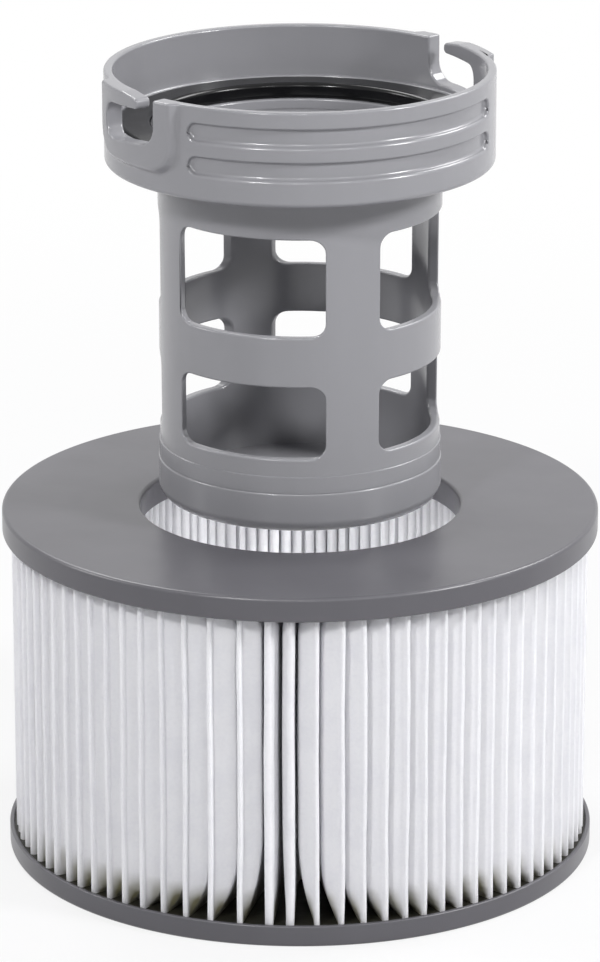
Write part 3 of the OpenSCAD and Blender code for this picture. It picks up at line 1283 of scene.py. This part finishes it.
    def channel(self, first: float, last: float, top: float) -> BMesh:
        """Makes the tool that cuts one grip channel, with a sloping lower ledge."""
        x0, x1 = self.along(first), self.along(last)
        high = self.rim - top
        low = high - self.channel_h
        bend = self.channel_h / 2 - ALMOST
        bm = flat_solid(rectangle(x0, x1, low, high, bend), -CLEAR / 2, self.channel_d, 6)
        middle = (low + high) / 2 * MM
        for vert in bm.verts:
            if vert.co.y > 0 and vert.co.z < middle:
                share = min(1, (middle - vert.co.z) / (self.channel_blend * MM))
                vert.co.z += self.channel_slope * MM * share
        return bm

    def place(self, point: Vector) -> Vector:
        """Gives the bent place of a flat point of the wall."""
        radius = self.outer_r * MM - point.y
        angle = point.x / (self.outer_r * MM)
        return Vector((radius * math.sin(angle), -radius * math.cos(angle), point.z))

    def slab(self, start: float, stop: float) -> BMesh:
        """Makes the flat wall between two flat X, with its lower edge rounded."""
        bm = flat_solid(rectangle(start, stop, self.under, self.rim), 0, self.wall_t)

        def is_lower_front(edge: BMEdge) -> bool:
            return all(
                abs(v.co.z - self.under * MM) < NEAR and abs(v.co.y) < NEAR for v in edge.verts
            )

        bevel_edges(bm, [e for e in bm.edges if is_lower_front(e)], self.under_r, 7)
        return bm

    def wall(self) -> BMesh:
        """Builds the bent wall with its borders, slots and channels."""
        start, stop = self.along(self.seam_angle - 360), self.along(self.seam_angle)
        steps = []
        for side in (0, -180):
            middle = self.along(self.slot_angle + side)
            steps.append((Cut.ADD, self.border(middle)))
            steps.append((Cut.REMOVE, self.slot(middle)))
            first, last = (self.slot_angle + side + end for end in self.channel_ends)
            for top in self.channel_tops:
                steps.append((Cut.REMOVE, self.channel(first, last, top)))
        bm = combine(self.slab(start, stop), steps)

        def reaches_inside(edge: BMEdge) -> bool:
            return any(start * MM + NEAR < v.co.x < stop * MM - NEAR for v in edge.verts)

        bevel_edges(bm, [e for e in sharp_edges(bm) if reaches_inside(e)], self.edge_r, 4)
        slice_flat(bm, start, stop, self.strips)
        bend_closed(bm, start, stop, self.place)
        return bm

    def core(self) -> BMesh:
        """Builds the step, the seat and the neck, which stand inside the wall."""
        inside = self.outer_r - self.wall_t + OVERLAP
        hollow_in, hollow_out = self.hollow
        bm = spin_ring(
            [
                (self.neck_r, self.under),
                (hollow_in, self.under),
                (hollow_in, self.hollow_top),
                (hollow_out, self.hollow_top),
                (hollow_out, self.under),
                (inside, self.under),
                (inside, self.step),
                (self.pocket_r, self.step),
                (self.pocket_r, self.seat),
                (self.throat_r, self.seat),
                (self.throat_r, self.flange),
                (self.neck_r, self.flange),
            ]
        )
        for radius, height in (
            (self.pocket_r, self.step),
            (self.throat_r, self.seat),
            (self.neck_r, self.under),
            (hollow_in, self.under),
            (hollow_out, self.under),
        ):
            round_circle(bm, radius, height, self.edge_r, 4)
        return bm

    def ribs(self) -> Iterable[BMesh]:
        """Makes the ribs across the hollow in the underside."""
        inner, outer = self.hollow[0] - OVERLAP, self.hollow[1] + OVERLAP
        height = self.hollow_top - self.under + 2 * self.rib_back
        for index in range(self.rib_count):
            bm = bmesh.new()
            bmesh.ops.create_cube(bm, size=1.0)
            size = ((outer - inner) * MM, self.rib_t * MM, height * MM)
            bmesh.ops.scale(bm, verts=bm.verts, vec=size)
            level = self.under + self.rib_back + height / 2
            middle = ((inner + outer) / 2 * MM, 0, level * MM)
            bmesh.ops.translate(bm, verts=bm.verts, vec=middle)
            low = [e for e in bm.edges if all(v.co.z < middle[2] for v in e.verts)]
            bevel_edges(bm, low, self.rib_r, 2)
            yield turn(bm, "Z", 360 * index / self.rib_count)

    def build(self) -> Object:
        """Builds the wall, joins the core and the ribs to it, and dresses the head."""
        bm = join(self.wall(), [self.core(), *self.ribs()])
        lift(bm, self.base)
        return finish_piece(bm, "bayonet_head_moulded", "bayonet_head", HOLDER_ABS, BodyName.HOLDER)


@dataclass
class CageTube:
    """The windowed tube, modelled flat and bent round so that its windows' sides stay parallel.

    Heights are over the holder's underside.

    Attributes:
        base: Height of the holder's underside.
        low: Height of the shoulder that stands on the floor cup.
        top: Height of the tube's top end.
        top_r: Outer radius under the head.
        low_r: Outer radius at the shoulder.
        wall_t: Wall thickness.
        window_half: Half the straight width of a window.
        window_r: Corner radius of a window.
        windows: Lower edge and height of each row of windows.
        band_top: Height up to which the wall stands out a little above the cup.
        band_out: How far it does.
        edge_r: Rounding of a window's edges.
        spigot: Radii, foot and top of the end that is welded into the cup.
        flange: Radii, foot and top of the flange that hangs in the head.
        strips: Number of strips in each column of windows.
    """

    base: float
    low: float = 10.6
    top: float = 92.2
    top_r: float = 36.2
    low_r: float = 35.9
    wall_t: float = 2.4
    window_half: float = 19.6
    window_r: float = 3.5
    windows: tuple[tuple[float, float], ...] = ((19.5, 18.7), (51.2, 25.1))
    band_top: float = 14.8
    band_out: float = 0.3
    edge_r: float = 0.55
    spigot: tuple[float, float, float, float] = (33.5, 34.8, 2.0, 10.7)
    flange: tuple[float, float, float, float] = (35.9, 37.2, 90.2, 92.2)
    strips: int = 56

    @property
    def half_column(self) -> float:
        """Half the flat width of one column of windows, in mm."""
        edge = math.asin(self.window_half / self.top_r)
        return self.window_half + (math.pi / 4 - edge) * self.top_r

    def place(self, point: Vector) -> Vector:
        """Gives the bent place of a flat point, with the windows' sides kept parallel."""
        pitch = 2 * self.half_column * MM
        column = math.floor(point.x / pitch + 0.5)
        x = point.x - column * pitch
        share = (point.z / MM - self.low) / (self.top - self.low)
        outer = self.low_r + (self.top_r - self.low_r) * share
        radius = outer * MM - point.y
        half = self.window_half * MM
        edge = math.asin(half / radius)
        if abs(x) <= half:
            angle = math.asin(x / radius)
        else:
            share = (abs(x) - half) / (self.half_column * MM - half)
            angle = math.copysign(edge + (math.pi / 4 - edge) * share, x)
        angle += column * math.pi / 2
        return Vector((radius * math.sin(angle), -radius * math.cos(angle), point.z))

    def window(self, middle: float, low: float, height: float) -> BMesh:
        """Makes the tool that cuts one window about a flat X."""
        left, right = middle - self.window_half, middle + self.window_half
        corners = rectangle(left, right, low, low + height, self.window_r)
        return flat_solid(corners, -CLEAR, self.wall_t + CLEAR)

    def build(self) -> Object:
        """Builds the slab, cuts and rounds its windows, bends it and adds both ends."""
        half = self.half_column
        start, stop = -half, 7 * half
        slab = flat_solid(rectangle(start, stop, self.low, self.top), 0, self.wall_t)
        steps = [
            (Cut.REMOVE, self.window(column * 2 * half, low, height))
            for column in range(4)
            for low, height in self.windows
        ]
        bm = combine(slab, steps)

        def on_window(edge: BMEdge) -> bool:
            return all(
                start * MM + NEAR < v.co.x < stop * MM - NEAR
                and self.low * MM + NEAR < v.co.z < self.top * MM - NEAR
                for v in edge.verts
            )

        bevel_edges(bm, [e for e in sharp_edges(bm) if on_window(e)], self.edge_r, 4)
        for height in (self.band_top, self.band_top + self.band_out / 2):
            slice_at(bm, (0, 0, height * MM), (0, 0, 1))
        for vert in bm.verts:
            if vert.co.z < self.band_top * MM + NEAR and abs(vert.co.y) < NEAR:
                vert.co.y -= self.band_out * MM
        slice_flat(bm, start, stop, 4 * self.strips)
        bend_closed(bm, start, stop, self.place)
        join(bm, (spin_rectangle(*end) for end in (self.spigot, self.flange)))
        lift(bm, self.base)
        return finish_piece(bm, "cage_tube_moulded", "cage_tube", HOLDER_ABS, BodyName.HOLDER)


@dataclass
class FloorCup:
    """The shallow cup welded over the tube's lower end, with drain slots in its floor.

    Attributes:
        outer_r: Outside radius.
        wall_t: Wall thickness.
        height: Height of the wall.
        floor_t: Thickness of the floor.
        edge_r: Rounding of the bottom edge.
        rim_r: Rounding of the upper edge.
        drain_count: Number of drain slots.
        drain_start: Angle of the first drain slot.
        drain_r: Radius of the circle of drain slots.
        drain_l: Length of a drain slot.
        drain_w: Width of a drain slot.
    """

    outer_r: float = 36.4
    wall_t: float = 1.5
    height: float = 10.6
    floor_t: float = 2.0
    edge_r: float = 3.4
    rim_r: float = 0.6
    drain_count: int = 6
    drain_start: float = -4.0
    drain_r: float = 11.5
    drain_l: float = 6.3
    drain_w: float = 1.5

    def drain(self, angle: float) -> BMesh:
        """Makes the tool that cuts one drain slot at an angle in degrees."""
        half, width = self.drain_l / 2, self.drain_w / 2
        corners = rectangle(-half, half, -width, width, width - ALMOST / 2)
        bm = flat_solid(corners, -REACH, self.floor_t + REACH, 5)
        turn(bm, "X", -90)
        bmesh.ops.translate(bm, verts=bm.verts, vec=(0, -self.drain_r * MM, 0))
        turn(bm, "Z", angle)
        bmesh.ops.recalc_face_normals(bm, faces=bm.faces)
        return bm

    def build(self) -> Object:
        """Builds the cup, rounds it and cuts its drain slots."""
        inner = self.outer_r - self.wall_t
        bm = spin_ring(
            [
                (0, 0),
                (self.outer_r, 0),
                (self.outer_r, self.height),
                (inner, self.height),
                (inner, self.floor_t),
                (0, self.floor_t),
            ]
        )
        round_circle(bm, self.outer_r, 0, self.edge_r, 7)
        round_circle(bm, self.outer_r, self.height, self.rim_r, 3)
        pitch = 360 / self.drain_count
        cuts = [
            (Cut.REMOVE, self.drain(self.drain_start + pitch * index))
            for index in range(self.drain_count)
        ]
        bm = seat(combine(bm, cuts), "floor_cup")
        return finish_piece(bm, "floor_cup_moulded", "floor_cup", HOLDER_ABS, BodyName.HOLDER)


@dataclass
class SealingRing:
    """The flat rubber ring that lies on the socket's seat.

    Attributes:
        inner_r: Inner radius.
        outer_r: Outer radius.
        thick: Thickness.
        edge_r: Rounding of its edges.
    """

    inner_r: float = 37.6
    outer_r: float = 46.0
    thick: float = 4.1
    edge_r: float = 1.2

    def build(self) -> Object:
        """Builds and rounds the ring."""
        radii, heights = (self.inner_r, self.outer_r), (0, self.thick)
        bm = spin_rectangle(*radii, *heights)
        for radius in radii:
            for height in heights:
                round_circle(bm, radius, height, self.edge_r)
        seat(bm, "sealing_ring")
        return finish_piece(
            bm, "sealing_ring_moulded", "sealing_ring", SEAL_EPDM, BodyName.HOLDER, crease=60.0
        )


# ---- Stage ----


def aim(obj: Object, target: Vector, azimuth: float, elevation: float, distance: float) -> None:
    """Places an object round a point and turns it to face that point.

    Args:
        obj: A lamp or a camera.
        target: The point, in metres.
        azimuth: Direction round the axis in degrees.
        elevation: Height angle in degrees.
        distance: Distance from the point in metres.
    """
    a, e = math.radians(azimuth), math.radians(elevation)
    back = Vector((math.sin(a) * math.cos(e), -math.cos(a) * math.cos(e), math.sin(e)))
    obj.location = target + back * distance
    obj.rotation_euler = back.to_track_quat("Z", "Y").to_euler()


@dataclass
class Lamp:
    """One square softbox that faces the part.

    Attributes:
        name: The lamp's name.
        azimuth: Its direction round the axis in degrees.
        elevation: Its height angle in degrees.
        size: Its side in metres.
        power: Its power in watts.
        distance: Its distance from the part's middle in metres.
    """

    name: str
    azimuth: float
    elevation: float
    size: float
    power: float
    distance: float = 1.1

    def build(self, middle: Vector) -> None:
        """Places the lamp round a point."""
        data = bpy.data.lights.new(self.name, "AREA")
        data.size = self.size
        data.energy = self.power
        aim(add_object(self.name, data), middle, self.azimuth, self.elevation, self.distance)


@dataclass
class Studio:
    """The floor, the lamps, the world and the camera.

    Attributes:
        azimuth: Camera azimuth in degrees.
        elevation: Camera elevation in degrees.
        distance: Camera distance in metres.
        look_z: Height of the point that the camera looks at, in metres.
        lens: Focal length in mm for a 36 mm sensor.
        ambient: Strength of the world's light on the part.
        bore_z: Height of the small lamp inside the bore, in metres.
        bore_power: Power of that lamp in watts.
        bore_size: Radius of that lamp in metres.
        floor_colour: The floor's grey as light falls on it, as sRGB hex.
        floor_half: Half the floor's side in metres.
        floor_glow: Share of its own white that the floor shows the camera beside the part.
        floor_near: Distance from the axis up to which that share holds, in metres.
        floor_far: Distance past which the floor shows only its own white, in metres.
    """

    azimuth: float = 23.0
    elevation: float = 18.0
    distance: float = 1.3
    look_z: float = 0.0978
    lens: float = 188.3
    ambient: float = 0.05
    bore_z: float = 0.055
    bore_power: float = 0.06
    bore_size: float = 0.01
    floor_colour: str = "#d4d4d6"
    floor_half: float = 4.0
    floor_glow: float = 0.8
    floor_near: float = 0.15
    floor_far: float = 0.7

    @property
    def lamps(self) -> list[Lamp]:
        """The lamps: three small ones in front, a key, a side light and two behind."""
        return [
            Lamp("front_left", -3, 38, 0.1, 4.9),
            Lamp("front", 23, 35, 0.08, 1.2),
            Lamp("front_right", 50, 38, 0.08, 1.0),
            Lamp("key", 86, 32, 0.16, 8.3),
            Lamp("side", -66, 28, 0.3, 3.4),
            Lamp("back_right", 143, 45, 0.4, 6.5),
            Lamp("back_left", -125, 50, 0.4, 4.5),
        ]

    def camera(self, target: Vector) -> None:
        """Places the camera so that it looks at a point."""
        data = bpy.data.cameras.new("camera")
        data.sensor_fit = "AUTO"
        data.sensor_width = 36.0
        data.lens = self.lens
        cam = add_object("camera", data)
        aim(cam, target, self.azimuth, self.elevation, self.distance)
        bpy.context.scene.camera = cam

    def seen_directly(self, tree: NodeTree) -> NodeSocket:
        """Returns a factor that is 1 for camera, mirror and glass rays."""
        path = add_node(tree, "ShaderNodeLightPath")
        factor = path.outputs["Is Camera Ray"]
        for kind in ("Is Glossy Ray", "Is Transmission Ray"):
            factor = add_node(
                tree, "ShaderNodeMath", {0: factor, 1: path.outputs[kind]}, operation="MAXIMUM"
            ).outputs[0]
        return factor

    def world(self) -> None:
        """Makes an even white world that shows white behind the part."""
        world = bpy.data.worlds.new("studio")
        tree = open_tree(world)
        white = linear(WHITE)
        soft = add_node(tree, "ShaderNodeBackground", {"Color": white, "Strength": self.ambient})
        shown = add_node(tree, "ShaderNodeBackground", {"Color": white, "Strength": 1.0})
        mix = add_node(
            tree,
            "ShaderNodeMixShader",
            {0: self.seen_directly(tree), 1: soft.outputs[0], 2: shown.outputs[0]},
        )
        add_node(tree, "ShaderNodeOutputWorld", {"Surface": mix.outputs[0]})
        bpy.context.scene.world = world

    def floor(self) -> None:
        """Lays a wide pale floor that keeps the part's soft shadow."""
        bm = bmesh.new()
        bmesh.ops.create_grid(bm, x_segments=1, y_segments=1, size=self.floor_half)
        obj = as_object(bm, "floor")
        mat = bpy.data.materials.new("floor_white_paper")
        tree = open_tree(mat)
        paper = add_node(tree, "ShaderNodeBsdfDiffuse", {"Color": linear(self.floor_colour)})
        glow = add_node(tree, "ShaderNodeEmission", {"Color": linear(WHITE), "Strength": 1.0})
        place = add_node(tree, "ShaderNodeTexCoord").outputs["Object"]
        far = add_node(tree, "ShaderNodeVectorMath", {0: place}, operation="LENGTH")
        share = add_node(
            tree,
            "ShaderNodeMapRange",
            {
                "Value": far.outputs["Value"],
                "From Min": self.floor_near,
                "From Max": self.floor_far,
                "To Min": self.floor_glow,
                "To Max": 1.0,
            },
            interpolation_type="SMOOTHSTEP",
        )
        keep = add_node(
            tree,
            "ShaderNodeMath",
            {0: self.seen_directly(tree), 1: share.outputs[0]},
            operation="MULTIPLY",
        )
        mix = add_node(
            tree,
            "ShaderNodeMixShader",
            {0: keep.outputs[0], 1: paper.outputs[0], 2: glow.outputs[0]},
        )
        add_node(tree, "ShaderNodeOutputMaterial", {"Surface": mix.outputs[0]})
        obj.data.materials.append(mat)

    def bore_lamp(self) -> None:
        """Puts a small lamp inside the bore, so that its folds show under the holder."""
        data = bpy.data.lights.new("bore", "POINT")
        data.energy = self.bore_power
        data.shadow_soft_size = self.bore_size
        lamp = add_object("bore", data)
        lamp.location = (0, 0, self.bore_z)
        lamp.visible_camera = False
        lamp.visible_glossy = False

    def build(self) -> None:
        """Sets up the whole stage."""
        middle = Vector((0, 0, self.look_z))
        self.camera(middle)
        self.floor()
        self.world()
        for lamp in self.lamps:
            lamp.build(middle)
        self.bore_lamp()
        bpy.context.scene.view_settings.view_transform = "Standard"


def main() -> None:
    """Builds every piece in order."""
    logging.basicConfig(level=logging.INFO, format="%(name)s %(message)s")
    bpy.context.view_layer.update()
    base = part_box("floor_cup")[0][2] / MM
    makers = [
        Studio(),
        EndCap("bottom_end_cap", upside_down=False, skirt_h=5.6, skirt_t=1.2),
        EndCap("top_end_cap", upside_down=True, skirt_h=6.2, skirt_t=1.8),
        Potting("bottom_potting", upside_down=False),
        Potting("top_potting", upside_down=True),
        PleatedMedia(),
        BayonetHead(base),
        CageTube(base),
        FloorCup(),
        SealingRing(),
    ]
    for maker in makers:
        maker.build()


if __name__ == "__main__":
    main()
